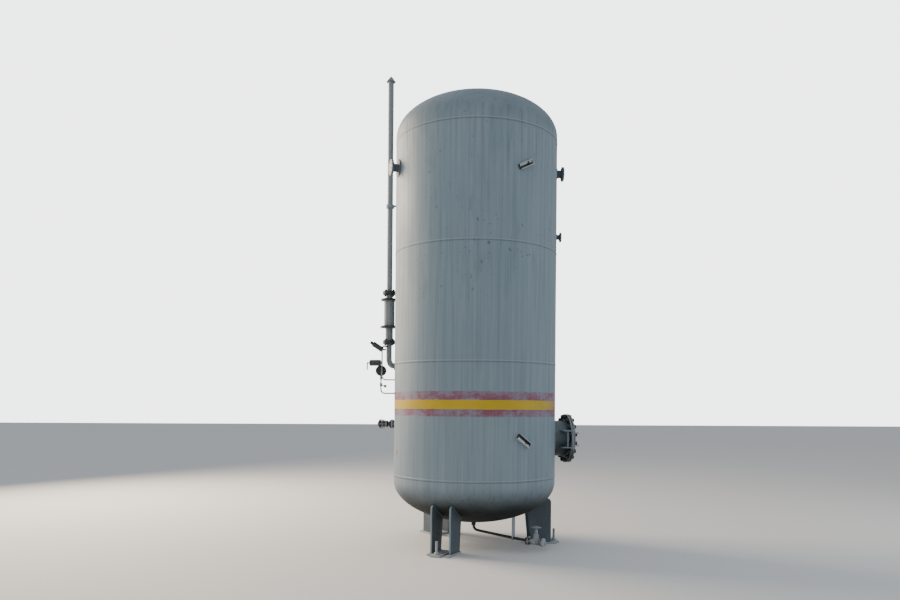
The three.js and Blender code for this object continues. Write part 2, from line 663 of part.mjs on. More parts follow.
const tank = new THREE.Group();
tank.name = "gas_receiver_tank";
tank.add(
  named("bottom_head", head(FIRST_SEAM_Z, -1), slatePaint()),
  named("shell_lower", lowerCourse(), slatePaint()),
  named("shell_middle", course(1), slatePaint()),
  named("shell_upper", course(2), slatePaint()),
  named("top_head", head(LAST_SEAM_Z, 1), slatePaint()),
  ...LEG_AZIMUTHS.map((azimuth, i) => leg(azimuth, i + 1)),
  manway(),
  blindNozzle("upper_right_nozzle", UPPER_RIGHT),
  blindNozzle("lower_right_nozzle", LOWER_RIGHT),
  blindNozzle("upper_left_nozzle", UPPER_LEFT),
  tiltedBracket("upper_bracket", UPPER_BRACKET),
  tiltedBracket("lower_bracket", LOWER_BRACKET),
  ventStack(),
  ...safetyValve(),
  gauge(),
  gasValve(),
  drain(),
);

// The origin is the middle of the part's box, at the foot plates' underside
const box = new THREE.Box3().setFromObject(tank, true);
const middle = box.getCenter(point(0, 0, 0));
tank.position.set(-middle.x, -middle.y, -box.min.z);
const part = new THREE.Group();
part.add(tank);

export default part;
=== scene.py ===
"""Finishes the frame of a vertical gas receiver tank and sets its studio."""
import json
import math

import bmesh
import bpy
from mathutils import Matrix, Vector


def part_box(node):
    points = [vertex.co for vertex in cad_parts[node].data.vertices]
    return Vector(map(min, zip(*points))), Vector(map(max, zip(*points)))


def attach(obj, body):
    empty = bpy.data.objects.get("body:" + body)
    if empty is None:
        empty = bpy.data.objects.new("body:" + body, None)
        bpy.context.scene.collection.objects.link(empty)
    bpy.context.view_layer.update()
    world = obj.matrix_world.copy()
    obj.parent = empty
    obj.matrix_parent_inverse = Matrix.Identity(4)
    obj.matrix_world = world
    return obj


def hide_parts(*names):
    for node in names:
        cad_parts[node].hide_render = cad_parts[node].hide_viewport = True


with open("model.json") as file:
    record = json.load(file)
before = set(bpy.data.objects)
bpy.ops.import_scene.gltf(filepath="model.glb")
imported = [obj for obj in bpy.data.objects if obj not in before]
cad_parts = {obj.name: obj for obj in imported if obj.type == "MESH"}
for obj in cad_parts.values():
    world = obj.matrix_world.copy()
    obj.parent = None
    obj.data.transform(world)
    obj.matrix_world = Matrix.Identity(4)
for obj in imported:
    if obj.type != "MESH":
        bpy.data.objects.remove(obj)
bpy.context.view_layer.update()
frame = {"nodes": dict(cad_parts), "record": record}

bl_info = {
    "name": "Gas Receiver Tank Finish",
    "version": (1, 0, 0),
    "blender": (4, 5, 0),
    "location": "View3D > Sidebar > Tank",
    "description": "Finishes the frame of a vertical gas receiver tank and sets its studio",
    "category": "Object",
}

# Places and sizes in metres, taken from the frame where a node gives them
SHELL_LOW, SHELL_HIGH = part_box("shell_lower")
AXIS_X = (SHELL_LOW.x + SHELL_HIGH.x) / 2
AXIS_Y = (SHELL_LOW.y + SHELL_HIGH.y) / 2
BEAD_PROUD = 0.003
BEAD_HALF = 0.010
RADIUS = (SHELL_HIGH.x - SHELL_LOW.x) / 2 - BEAD_PROUD
WALL = 0.010
HEAD_FLANGE = 0.070
SEAMS = [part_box(n)[0].z for n in ("shell_lower", "shell_middle", "shell_upper", "top_head")]
VESSEL_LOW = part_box("bottom_head")[0].z
HEAD_DEPTH = SEAMS[0] - HEAD_FLANGE - VESSEL_LOW

MANWAY_Z = (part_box("manway_cover")[0].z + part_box("manway_cover")[1].z) / 2
NECK_R = (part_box("manway_neck")[1].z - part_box("manway_neck")[0].z) / 2
COVER_R = (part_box("manway_cover")[1].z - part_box("manway_cover")[0].z) / 2
FLANGE_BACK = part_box("manway_flange")[0].x - AXIS_X
COVER_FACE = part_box("manway_cover")[1].x - AXIS_X
BOLT_CIRCLE_R = 0.252
RIM_SHARE = 0.96

MOUNTS = {m["name"]: m for m in frame["record"]["mounts"]}
RIB_SPACING = 0.215
RIB_THICKNESS = 0.020
RIB_FOOT_INNER = 0.641
RIB_OUTER = 0.870
RIB_EDGE = 0.824
RIB_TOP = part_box("leg_1_left_rib")[1].z
RIB_WELD_FROM = 0.610
FOOT_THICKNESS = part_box("leg_1_foot_plate")[1].z
ANCHOR_REACH = 0.925
ANCHOR_ACROSS = -0.015
SAFETY_REACH = 1.030
GAUGE_REACH = 1.120
PILOT_REACH = 1.093
VENT_FLANGES = ((2.280, 2.320), (2.470, 2.490), (2.790, 2.810), (2.860, 2.900))
VENT_JOINT_R = 0.064
VENT_FOOT_R = 0.060
LEVEL_FLANGE = 0.020
SAFETY_BONNET = (0.195, 0.215)
SAFETY_BONNET_R = 0.064
SAFETY_INLET_R = 0.060
GAS_JOINT = (0.950, 0.980)
GAS_JOINT_R = 0.040
DRAIN_VALVE_LENGTH = 0.187
DRAIN_FLANGES = (0.013, 0.014)
DRAIN_JOINT_R = 0.036
DIAL_R = 0.047
DIAL_CASE_R = 0.062
DIAL_PROUD = 0.022
PILOT_VALVE_HEIGHTS = (1.970, 2.310)
BRACKET_TILTS = {"upper_bracket": 27, "lower_bracket": -35}
BRACKET_HALF_LENGTH = 0.0925
BRACKET_HALF_WIDTH = 0.027
BRACKET_WALL = 0.005
# Size and place of the painted light strip inside each bracket's channel
STRIP_FROM_MIDDLE = 0.003
STRIP_FROM_WALL = 0.0005
STRIP_FROM_END = 0.012
STRIP_RISE = (0.009, 0.015)
BLIND_THICKNESS = {"upper_right_nozzle": 0.012, "lower_right_nozzle": 0.009, "upper_left_nozzle": 0.012}

ROUND = 160


def azimuth_of(point):
    """The angle of a point about the tank's axis."""
    return math.atan2(point[1] - AXIS_Y, point[0] - AXIS_X)


def reach_of(point):
    """The distance of a point from the tank's axis."""
    return math.hypot(point[0] - AXIS_X, point[1] - AXIS_Y)


def middle_of(node):
    """The middle of a node's box."""
    low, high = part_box(node)
    return (low + high) / 2


def upward(azimuth, reach, height):
    """A place whose Z is up and whose X runs outwards from the tank's axis."""
    turn = Matrix.Translation((AXIS_X, AXIS_Y, 0)) @ Matrix.Rotation(azimuth, 4, "Z")
    return turn @ Matrix.Translation((reach, 0, height))


def outward(azimuth, reach, height):
    """A place whose Z runs outwards from the tank's axis and whose Y is up."""
    axes = Matrix(((0, 0, 1, 0), (1, 0, 0, 0), (0, 1, 0, 0), (0, 0, 0, 1)))
    return upward(azimuth, reach, height) @ axes


def flip(place):
    """The same place with its Z the other way."""
    return place @ Matrix.Rotation(math.pi, 4, "X")


# Mesh makers
def lathe(bm, profile, steps=ROUND, place=None, closed=False):
    """A surface of revolution about a place's Z, from (radius, height) points."""
    place = place or Matrix.Identity(4)
    rings = []
    for radius, height in profile:
        if radius < 1e-6:
            rings.append([bm.verts.new(place @ Vector((0, 0, height)))])
            continue
        angles = [math.tau * i / steps for i in range(steps)]
        points = [Vector((radius * math.cos(a), radius * math.sin(a), height)) for a in angles]
        rings.append([bm.verts.new(place @ p) for p in points])
    pairs = list(zip(rings, rings[1:]))
    if closed:
        pairs.append((rings[-1], rings[0]))
    for low, high in pairs:
        for i in range(steps):
            j = (i + 1) % steps
            corners = [low[i % len(low)], low[j % len(low)], high[j % len(high)], high[i % len(high)]]
            face = list(dict.fromkeys(corners))
            if len(face) > 2:
                bm.faces.new(face)


def tube(bm, path, radius, sides=12, closed=False):
    """A round tube along a list of points, with flat ends unless it is closed."""
    count = len(path)
    points = [Vector(p) for p in path]
    side = None
    rings = []
    for i, here in enumerate(points):
        before = points[i - 1] if closed or i else here
        after = points[(i + 1) % count] if closed or i < count - 1 else here
        along = (after - before).normalized()
        if side is None:
            guide = Vector((0, 0, 1)) if abs(along.z) < 0.9 else Vector((1, 0, 0))
            side = along.cross(guide).normalized()
        side = (side - along * side.dot(along)).normalized()
        other = along.cross(side)
        angles = [math.tau * k / sides for k in range(sides)]
        spokes = [side * math.cos(a) + other * math.sin(a) for a in angles]
        rings.append([bm.verts.new(here + spoke * radius) for spoke in spokes])
    pairs = list(zip(rings, rings[1:]))
    if closed:
        pairs.append((rings[-1], rings[0]))
    for low, high in pairs:
        for k in range(sides):
            bm.faces.new([low[k], low[(k + 1) % sides], high[(k + 1) % sides], high[k]])
    if not closed:
        bm.faces.new(rings[0])
        bm.faces.new(rings[-1])


def slab(bm, place, low, high):
    """A box between two corners in a place's own frame."""
    middle = Matrix.Translation((Vector(low) + Vector(high)) / 2)
    size = Matrix.Diagonal((*(Vector(high) - Vector(low)), 1))
    bmesh.ops.create_cube(bm, size=1, matrix=place @ middle @ size)


def nut(bm, place, across, height):
    """A hexagon nut with a chamfered crown, standing on a thin washer."""
    corner = across / math.sqrt(3)
    washer = 0.12 * height
    lathe(bm, [(0, 0), (across * 0.62, 0), (across * 0.62, washer), (0, washer)], 20, place)
    crown = [(0, washer), (corner, washer), (corner, height * 0.86), (across * 0.46, height), (0, height)]
    lathe(bm, crown, 6, place)


def stud(bm, place, radius, length):
    """The threaded end of a stud, with its turns and a chamfered tip."""
    pitch = max(radius * 0.3, 0.002)
    turns = max(int(length / pitch), 2)
    profile = [(0, 0)]
    for i in range(turns):
        profile += [(radius, length * (i + 0.1) / turns), (radius * 0.88, length * (i + 0.6) / turns)]
    profile += [(radius * 0.7, length), (0, length)]
    lathe(bm, profile, 12, place)


def bolt_ring(bm, place, circle, count, across, height, tip=0.0):
    """Nuts in a circle on a place's XY plane, each with a stud's end proud of it."""
    for i in range(count):
        angle = math.tau * (i + 0.5) / count
        spin = Matrix.Rotation(angle, 4, "Z") @ Matrix.Translation((circle, 0, 0))
        turn = Matrix.Rotation(0.7 * i, 4, "Z")
        nut(bm, place @ spin @ turn, across, height)
        if tip:
            stud(bm, place @ spin, across * 0.33, height + tip)


def piece(name, bm, material, body="tank", replaces=(), sharp=32, bevel=0.0):
    """Turns a bmesh into a shown piece that rides on a body."""
    bmesh.ops.recalc_face_normals(bm, faces=bm.faces)
    mesh = bpy.data.meshes.new(name)
    bm.to_mesh(mesh)
    bm.free()
    mesh.shade_smooth()
    mesh.set_sharp_from_angle(angle=math.radians(sharp))
    mesh.materials.append(material)
    made = bpy.data.objects.new(name, mesh)
    bpy.context.scene.collection.objects.link(made)
    if bevel:
        soften = made.modifiers.new("edge_rounding", "BEVEL")
        soften.width = bevel
        soften.segments = 2
        soften.limit_method = "ANGLE"
        soften.angle_limit = math.radians(sharp + 6)
    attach(made, body)
    if replaces:
        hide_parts(*replaces)
    return made


def refined(node, material, body="tank", bevel=0.0015, sharp=32, second=None, where=None):
    """A node's own shape with merged faces, smooth round sides and rounded edges.

    Faces whose middle passes the test take the second material.
    """
    source = frame["nodes"][node].data
    bm = bmesh.new()
    verts = [bm.verts.new(v.co) for v in source.vertices]
    for polygon in source.polygons:
        bm.faces.new([verts[i] for i in polygon.vertices])
    bmesh.ops.remove_doubles(bm, verts=bm.verts, dist=2e-5)
    bmesh.ops.dissolve_limit(
        bm, angle_limit=math.radians(0.6), verts=bm.verts, edges=bm.edges, use_dissolve_boundaries=False
    )
    if second:
        for face in bm.faces:
            face.material_index = 1 if where(face.calc_center_median()) else 0
    made = piece(f"{node}_finished", bm, material, body, (node,), sharp, bevel)
    if second:
        made.data.materials.append(second)
    return made


# Shader helpers
def new_group(name, inputs, outputs):
    """An empty shader node group with named sockets, and its input and output nodes."""
    group = bpy.data.node_groups.new(name, "ShaderNodeTree")
    kinds = {"color": "NodeSocketColor", "value": "NodeSocketFloat", "vector": "NodeSocketVector"}
    for label, kind, default in inputs:
        made = group.interface.new_socket(name=label, in_out="INPUT", socket_type=kinds[kind])
        if default is not None:
            made.default_value = default
    for label, kind in outputs:
        group.interface.new_socket(name=label, in_out="OUTPUT", socket_type=kinds[kind])
    return group, group.nodes.new("NodeGroupInput"), group.nodes.new("NodeGroupOutput")


class Wiring:
    """Short ways to place and join the nodes of one tree."""

    def __init__(self, tree):
        self.tree = tree

    def node(self, kind, **values):
        made = self.tree.nodes.new(kind)
        for name, value in values.items():
            setattr(made, name, value)
        return made

    def join(self, source, target):
        self.tree.links.new(source, target)

    def feed(self, socket, value):
        if isinstance(value, bpy.types.NodeSocket):
            self.join(value, socket)
        else:
            socket.default_value = value

    def place(self, scale):
        """The point in the tank's own frame, stretched by a scale on each axis."""
        mapping = self.node("ShaderNodeMapping")
        self.join(self.node("ShaderNodeTexCoord").outputs["Object"], mapping.inputs["Vector"])
        mapping.inputs["Scale"].default_value = scale
        return mapping.outputs["Vector"]

    def height(self):
        """The height above the ground."""
        split = self.node("ShaderNodeSeparateXYZ")
        self.join(self.node("ShaderNodeTexCoord").outputs["Object"], split.inputs["Vector"])
        return split.outputs["Z"]

    def noise(self, scale, place, detail=4.0, roughness=0.55):
        made = self.node("ShaderNodeTexNoise")
        self.join(place, made.inputs["Vector"])
        self.feed(made.inputs["Scale"], scale)
        self.feed(made.inputs["Detail"], detail)
        self.feed(made.inputs["Roughness"], roughness)
        return made.outputs["Fac"]

    def spread(self, value, low, high, to_low=0.0, to_high=1.0):
        """A value that eases from one amount to another between two limits."""
        made = self.node("ShaderNodeMapRange", interpolation_type="SMOOTHSTEP")
        self.feed(made.inputs["Value"], value)
        for label, amount in (("From Min", low), ("From Max", high), ("To Min", to_low), ("To Max", to_high)):
            self.feed(made.inputs[label], amount)
        return made.outputs["Result"]

    def reckon(self, operation, first, second):
        made = self.node("ShaderNodeMath", operation=operation)
        self.feed(made.inputs[0], first)
        self.feed(made.inputs[1], second)
        return made.outputs["Value"]

    def times(self, first, second):
        return self.reckon("MULTIPLY", first, second)

    def plus(self, first, second):
        return self.reckon("ADD", first, second)

    def mix(self, share, first, second):
        """A blend of two colours, from the first at 0 to the second at 1."""
        made = self.node("ShaderNodeMix", data_type="RGBA")
        self.feed(made.inputs["Factor"], share)
        self.feed(made.inputs[6], first)
        self.feed(made.inputs[7], second)
        return made.outputs[2]

    def group(self, group, **values):
        made = self.node("ShaderNodeGroup", node_tree=group)
        for label, value in values.items():
            self.feed(made.inputs[label.replace("_", " ").title()], value)
        return made


def weathered_paint_group():
    """Brushed paint with rain streaks, chalky clouds, dark specks and a little rust."""
    name = "weathered_paint"
    if name in bpy.data.node_groups:
        return bpy.data.node_groups[name]
    group, given, result = new_group(
        name,
        [
            ("Paint", "color", (0.4, 0.45, 0.5, 1)),
            ("Dirt", "color", (0.1, 0.1, 0.1, 1)),
            ("Chalk", "color", (0.6, 0.6, 0.6, 1)),
            ("Rust", "color", (0.2, 0.07, 0.03, 1)),
            ("Streaks", "value", 0.5),
            ("Clouds", "value", 0.5),
            ("Specks", "value", 0.5),
            ("Rusting", "value", 0.1),
            ("Fineness", "value", 1.0),
        ],
        [("Color", "color"), ("Roughness", "value"), ("Height", "value")],
    )
    w = Wiring(group)
    get = given.outputs
    streak_scale = w.times(get["Fineness"], 38.0)
    streaks = w.noise(streak_scale, w.place((1, 1, 0.022)), 3.0, 0.6)
    wide = w.noise(w.times(get["Fineness"], 4.0), w.place((1, 1, 0.25)), 4.0, 0.6)
    streak_mask = w.times(w.spread(streaks, 0.48, 0.66), w.spread(wide, 0.25, 0.6, 0.35, 1.0))
    chalk_mask = w.times(w.spread(streaks, 0.5, 0.34), w.spread(wide, 0.7, 0.35, 0.35, 1.0))
    clouds = w.noise(w.times(get["Fineness"], 1.8), w.place((1, 1, 0.7)), 6.0, 0.6)
    speck_noise = w.noise(w.times(get["Fineness"], 26.0), w.place((1, 1, 0.7)), 2.0, 0.5)
    specks = w.times(w.spread(speck_noise, 0.70, 0.76), w.spread(clouds, 0.42, 0.58))
    rust_noise = w.noise(w.times(get["Fineness"], 38.0), w.place((1, 1, 0.45)), 5.0, 0.6)
    rust = w.times(w.spread(rust_noise, 0.66, 0.72), get["Rusting"])

    color = w.mix(w.times(w.spread(clouds, 0.35, 0.7), w.times(get["Clouds"], 0.5)),
                  get["Paint"], get["Chalk"])
    color = w.mix(w.times(chalk_mask, w.times(get["Streaks"], 0.40)), color, get["Chalk"])
    color = w.mix(w.times(streak_mask, w.times(get["Streaks"], 0.30)), color, get["Dirt"])
    color = w.mix(w.times(specks, get["Specks"]), color, get["Dirt"])
    color = w.mix(rust, color, get["Rust"])
    w.join(color, result.inputs["Color"])
    rough = w.plus(w.spread(clouds, 0.3, 0.7, 0.46, 0.62), w.times(rust, 0.3))
    w.join(w.plus(rough, w.times(streak_mask, 0.08)), result.inputs["Roughness"])
    grain = w.noise(w.times(get["Fineness"], 260.0), w.place((1, 1, 1)), 2.0, 0.5)
    w.join(w.plus(w.times(grain, 0.25), rust), result.inputs["Height"])
    return group


def finish_material(name, metallic, specular=0.5):
    """A new material and its wiring, with one Principled shader."""
    material = bpy.data.materials.new(name)
    material.use_nodes = True
    w = Wiring(material.node_tree)
    shader = material.node_tree.nodes["Principled BSDF"]
    shader.inputs["Metallic"].default_value = metallic
    shader.inputs["Specular IOR Level"].default_value = specular
    return material, w, shader


def bump(w, shader, height, strength, distance):
    made = w.node("ShaderNodeBump")
    w.join(height, made.inputs["Height"])
    made.inputs["Strength"].default_value = strength
    made.inputs["Distance"].default_value = distance
    w.join(made.outputs["Normal"], shader.inputs["Normal"])


def weathered(name, colours, amounts, metallic=0.0, grain=0.12, painted_shade_heights=None):
    """A weathered coat from its paint, dirt and chalk, and its amounts in the group's order.

    Painted shade heights are the two heights between which a painted shade, darkest at the lower one, fades
    out upwards.
    """
    if name in bpy.data.materials:
        return bpy.data.materials[name]
    material, w, shader = finish_material(name, metallic)
    given = {label: (*tone, 1) for label, tone in zip(("paint", "dirt", "chalk"), colours)}
    given.update(zip(("streaks", "clouds", "specks", "rusting", "fineness"), amounts))
    worn = w.group(weathered_paint_group(), **given)
    color = worn.outputs["Color"]
    if painted_shade_heights:
        # Painted shade: darker towards the bottom, fading out upwards
        painted_shade_colour = bpy.context.scene.tank_paint.underside_shade
        color = w.mix(w.spread(w.height(), *painted_shade_heights, 0.92, 0.0), color, (*painted_shade_colour, 1))
    w.join(color, shader.inputs["Base Color"])
    w.join(worn.outputs["Roughness"], shader.inputs["Roughness"])
    bump(w, shader, worn.outputs["Height"], grain, 0.002)
    return material


def slate_paint():
    look = bpy.context.scene.tank_paint
    return weathered("slate_paint_fittings", (look.paint, look.dirt, look.chalk), (0.4, 0.5, 0.4, 0.25, 2.2))


def pale_plate():
    look = bpy.context.scene.tank_paint
    return weathered("pale_worn_plate", (look.plate, look.dirt, look.chalk), (0.5, 0.9, 0.7, 0.5, 3.0))


# Painted highlight: a pale copy of the plate paint for the channels' lit outsides and the lit strip inside
# them
def bright_plate():
    look = bpy.context.scene.tank_paint
    colours = (look.bright, look.dirt, (0.66, 0.68, 0.70))
    return weathered("bright_painted_highlight", colours, (0.2, 0.6, 0.4, 0.1, 4.0))


# Painted shade: a darker copy of the slate paint for the legs' sides, their welds and the nozzle stubs, which
# lie in shade
def shaded_paint():
    look = bpy.context.scene.tank_paint
    return weathered("painted_shade_slate_paint", (look.painted_shade_tone, look.dirt, look.paint), (0.5, 0.5, 0.6, 0.3, 2.6))


# Painted shade: a darker copy of the slate paint for the manway's neck, darkening further towards its foot
def neck_paint():
    look = bpy.context.scene.tank_paint
    colours = (look.neck, look.dirt, look.paint)
    painted_shade_heights = (MANWAY_Z - NECK_R, MANWAY_Z + NECK_R * 0.6)
    return weathered("manway_neck_paint", colours, (0.5, 0.6, 0.7, 0.3, 2.6), painted_shade_heights=painted_shade_heights)


# Painted shade: the manway's rim and cover darken towards their foot
def rim_paint():
    look = bpy.context.scene.tank_paint
    colours = (look.pipe, look.dirt, look.chalk)
    painted_shade_heights = (MANWAY_Z - COVER_R, MANWAY_Z)
    return weathered("manway_rim_paint", colours, (0.6, 0.6, 0.6, 0.4, 2.6), 0.1, painted_shade_heights=painted_shade_heights)


def silvery_paint():
    colours = ((0.20, 0.22, 0.23), (0.02, 0.02, 0.02), (0.56, 0.58, 0.59))
    return weathered("silvery_valve_paint", colours, (0.5, 1.0, 1.0, 0.5, 9.0), 0.3)


def grey_pipe():
    look = bpy.context.scene.tank_paint
    colours = (look.pipe, look.dirt, look.chalk)
    return weathered("grey_pipe_paint", colours, (0.6, 0.6, 0.6, 0.4, 2.6), 0.1)


def dark_iron():
    colours = (bpy.context.scene.tank_paint.iron, (0.012, 0.012, 0.012), (0.13, 0.135, 0.14))
    return weathered("dark_cast_iron", colours, (0.7, 0.6, 0.8, 0.8, 4.0), 0.35, 0.5)


def bare_steel():
    colours = ((0.22, 0.23, 0.24), (0.03, 0.03, 0.03), (0.40, 0.40, 0.39))
    return weathered("bare_dull_steel", colours, (0.6, 0.7, 0.8, 0.8, 5.0), 0.6, 0.2)


def black_case():
    colours = ((0.012, 0.012, 0.013), (0.004, 0.004, 0.004), (0.04, 0.04, 0.04))
    return weathered("black_enamel", colours, (0.2, 0.3, 0.4, 0.0, 5.0))


def dial_white():
    colours = ((0.72, 0.71, 0.66), (0.3, 0.28, 0.22), (0.8, 0.79, 0.75))
    return weathered("dial_white", colours, (0.1, 0.3, 0.1, 0.0, 5.0))


def between(w, value, low, high, soft):
    """1 between two heights, with soft ends."""
    above = w.spread(value, low - soft, low + soft)
    below = w.spread(value, high - soft, high + soft, 1.0, 0.0)
    return w.times(above, below)


def vessel_paint():
    """Slate paint with the three painted bands, weather below the seams and painted shade darkening the
    underside.
    """
    name = "vessel_slate_paint"
    if name in bpy.data.materials:
        return bpy.data.materials[name]
    look = bpy.context.scene.tank_paint
    material, w, shader = finish_material(name, 0.0, 0.3)
    height = w.height()
    dirt = (*look.dirt, 1)
    chalk = (*look.chalk, 1)
    worn = w.group(
        weathered_paint_group(),
        paint=(*look.paint, 1),
        dirt=dirt,
        chalk=chalk,
        streaks=w.spread(height, SEAMS[3] - 0.02, SEAMS[3] + 0.30, look.streaks, 0.12),
        clouds=0.35,
        specks=0.15,
        rusting=0.0,
        fineness=1.0,
    )
    color = worn.outputs["Color"]

    # Dirt that runs down from the top seam and from the seam under it
    drip = w.noise(22.0, w.place((1, 1, 0.05)), 4.0, 0.65)
    under_top = w.spread(height, SEAMS[3] - 0.9, SEAMS[3])
    under_next = w.spread(height, SEAMS[2] - 0.7, SEAMS[2])
    below_next = w.spread(height, SEAMS[2], SEAMS[2] + 0.01, 1.0, 0.0)
    reached = w.plus(under_top, w.times(w.times(under_next, below_next), 0.6))
    color = w.mix(w.times(w.times(w.spread(drip, 0.52, 0.74), reached), 0.35), color, dirt)

    # Scattered dark spots and faint smudges on the upper course
    spot = w.noise(30.0, w.place((1, 1, 0.7)), 1.0, 0.4)
    patch = w.noise(2.6, w.place((1, 1, 0.5)), 2.0, 0.5)
    smudge = w.noise(9.0, w.place((1, 1, 0.28)), 3.0, 0.6)
    on_course = between(w, height, 2.7, SEAMS[3] + 0.1, 0.5)
    on_upper = w.times(on_course, w.spread(patch, 0.42, 0.62, 0.25, 1.0))
    color = w.mix(w.times(w.times(w.spread(spot, 0.68, 0.76), on_upper), 0.6), color, dirt)
    color = w.mix(w.times(w.times(w.spread(smudge, 0.54, 0.72), on_upper), 0.22), color, dirt)

    # Painted shade darkening the underside (also made rougher there), and a faint grime on the crown
    patchy_noise = w.noise(3.0, w.place((1, 1, 1)), 5.0, 0.6)
    low_edge = w.plus(height, w.times(patchy_noise, 0.10))
    underside_shade = w.spread(low_edge, VESSEL_LOW + 0.22, SEAMS[0] + 0.03, 0.97, 0.0)
    color = w.mix(underside_shade, color, (*look.underside_shade, 1))
    crown = between(w, height, SEAMS[3] + 0.03, SEAMS[3] + 0.36, 0.09)
    color = w.mix(w.times(crown, w.spread(patchy_noise, 0.3, 0.7, 0.10, 0.34)), color, dirt)

    # Bands: ochre yellow between two worn maroon stripes, with brushed edges
    ragged = w.times(w.noise(14.0, w.place((1, 1, 2)), 3.0, 0.6), 0.008)
    edge = w.plus(height, w.plus(ragged, -0.004))
    wear = w.noise(4.0, w.place((1, 1, 2.2)), 6.0, 0.7)
    fine_wear = w.noise(42.0, w.place((1, 1, 0.18)), 4.0, 0.7)
    kept = w.spread(w.plus(wear, w.times(fine_wear, 0.9)), 0.70, 1.08, 0.36, 0.88)
    red_band = between(w, edge, look.band_low, look.band_high, 0.004)
    faded = w.mix(w.spread(wear, 0.38, 0.62), (*look.band_faded, 1), (*look.band_red, 1))
    color = w.mix(w.times(red_band, kept), color, faded)
    yellow_band = between(w, edge, look.yellow_low, look.yellow_high, 0.002)
    yellow = w.mix(w.spread(wear, 0.35, 0.7), (*look.band_yellow, 1), (*look.band_yellow_dull, 1))
    yellow_kept = w.spread(w.plus(fine_wear, w.times(wear, 0.5)), 0.5, 0.8, 0.88, 1.0)
    split = w.node("ShaderNodeSeparateXYZ")
    w.join(w.place((1, 1, 1)), split.inputs["Vector"])
    fading = w.spread(split.outputs["X"], AXIS_X + 0.55, AXIS_X + 0.88, 1.0, 0.5)
    color = w.mix(w.times(yellow_band, w.times(yellow_kept, fading)), color, yellow)

    # Painted highlight along each weld bead, with a line of painted shadow under it
    bead = w.noise(70.0, w.place((1, 1, 1)), 3.0, 0.6)
    on_bead = None
    bead_painted_shadow = None
    for seam in SEAMS:
        here = between(w, height, seam - BEAD_HALF / 2, seam + BEAD_HALF / 2, 0.003)
        below = between(w, height, seam - 0.020, seam - 0.008, 0.004)
        on_bead = here if on_bead is None else w.plus(on_bead, here)
        bead_painted_shadow = below if bead_painted_shadow is None else w.plus(bead_painted_shadow, below)
    color = w.mix(w.times(on_bead, 0.45), color, chalk)
    color = w.mix(w.times(bead_painted_shadow, w.spread(bead, 0.3, 0.6, 0.2, 0.5)), color, dirt)

    # A rust spot on the left of the lower course
    distance = w.node("ShaderNodeVectorMath", operation="DISTANCE")
    w.join(w.place((1, 1, 1)), distance.inputs[0])
    centre = upward(math.radians(look.rust_azimuth), RADIUS, look.rust_height).translation
    distance.inputs[1].default_value = centre
    rusty = w.spread(distance.outputs["Value"], 0.016, 0.036, 0.8, 0.0)
    color = w.mix(rusty, color, (0.22, 0.055, 0.02, 1))

    w.join(color, shader.inputs["Base Color"])
    w.join(w.plus(worn.outputs["Roughness"], w.times(underside_shade, 0.2)), shader.inputs["Roughness"])
    ripple = w.times(w.times(bead, on_bead), 0.8)
    waves = w.times(w.noise(1.6, w.place((1, 1, 0.8)), 1.0, 0.4), 2.0)
    bump(w, shader, w.plus(w.plus(worn.outputs["Height"], ripple), waves), 0.16, 0.004)
    return material


# Settings
def colour(name, description, default):
    return bpy.props.FloatVectorProperty(
        name=name, description=description, subtype="COLOR", size=3, min=0.0, max=1.0, default=default
    )


def amount(name, description, default, **kind):
    return bpy.props.FloatProperty(name=name, description=description, default=default, **kind)


def length(name, description, default):
    return amount(name, description, default, unit="LENGTH")


class TankPaintSettings(bpy.types.PropertyGroup):
    """Colours of the paint, the bands, the weather on them, and the painted shade and highlight."""

    paint: colour("Paint", "Slate grey paint of the vessel", (0.185, 0.240, 0.272))
    chalk: colour("Chalk", "Paint that the sun has bleached", (0.300, 0.345, 0.365))
    dirt: colour("Dirt", "Dirt that the rain leaves", (0.060, 0.072, 0.078))
    # Painted shade: the dark colour painted on the vessel's underside and at the foot of the manway
    underside_shade: colour("Dust", "Grime on the underside", (0.011, 0.013, 0.010))
    plate: colour("Plate", "Foot plates and channels", (0.300, 0.325, 0.335))
    # Painted highlight: a pale copy of the plate paint for the brackets' channels
    bright: colour("Bright", "Worn edges of the channels", (0.500, 0.530, 0.550))
    # Painted shade: a darker copy of the slate paint for parts in shade under and beside the vessel
    painted_shade_tone: colour("Grimed", "Paint that stays dark under the vessel", (0.050, 0.071, 0.084))
    neck: colour("Neck", "Shaded paint of the manway's neck", (0.115, 0.150, 0.165))
    pipe: colour("Pipe", "Pipes and blind flanges", (0.190, 0.205, 0.212))
    iron: colour("Iron", "Cast valves and flanges", (0.022, 0.025, 0.026))
    band_red: colour("Band Red", "Maroon of the outer bands", (0.205, 0.050, 0.078))
    band_faded: colour("Band Faded", "Maroon where it has worn thin", (0.235, 0.145, 0.205))
    band_yellow: colour("Band Yellow", "Ochre of the middle band", (0.530, 0.350, 0.006))
    band_yellow_dull: colour("Band Yellow Dull", "Ochre where it has dulled", (0.450, 0.310, 0.016))
    band_low: length("Band Low", "Foot of the lower maroon band", 1.442)
    yellow_low: length("Yellow Low", "Foot of the ochre band", 1.517)
    yellow_high: length("Yellow High", "Top of the ochre band", 1.614)
    band_high: length("Band High", "Top of the upper maroon band", 1.703)
    rust_height: length("Rust Height", "Height of the rust spot on the lower course", 1.035)
    rust_azimuth: amount("Rust Azimuth", "Degrees about the tank's axis of the rust spot", -170.0)
    streaks: amount("Streaks", "How strongly rain has marked the shell", 0.6, min=0.0, max=1.0)


class TankFixingSettings(bpy.types.PropertyGroup):
    """Sizes of the nuts, studs and weld beads."""

    manway_nut: length("Manway Nut", "Width across the flats of the manway's nuts", 0.041)
    flange_nut: length("Flange Nut", "Width across the flats on the small flanges", 0.024)
    anchor_nut: length("Anchor Nut", "Width across the flats of the anchor nuts", 0.046)
    anchor_height: length("Anchor Height", "Height of an anchor stud above its foot plate", 0.138)
    weld: length("Weld", "Radius of a fillet weld's bead", 0.007)
    manway_bolts: bpy.props.IntProperty(name="Manway Bolts", description="Bolts round the manway", default=16)


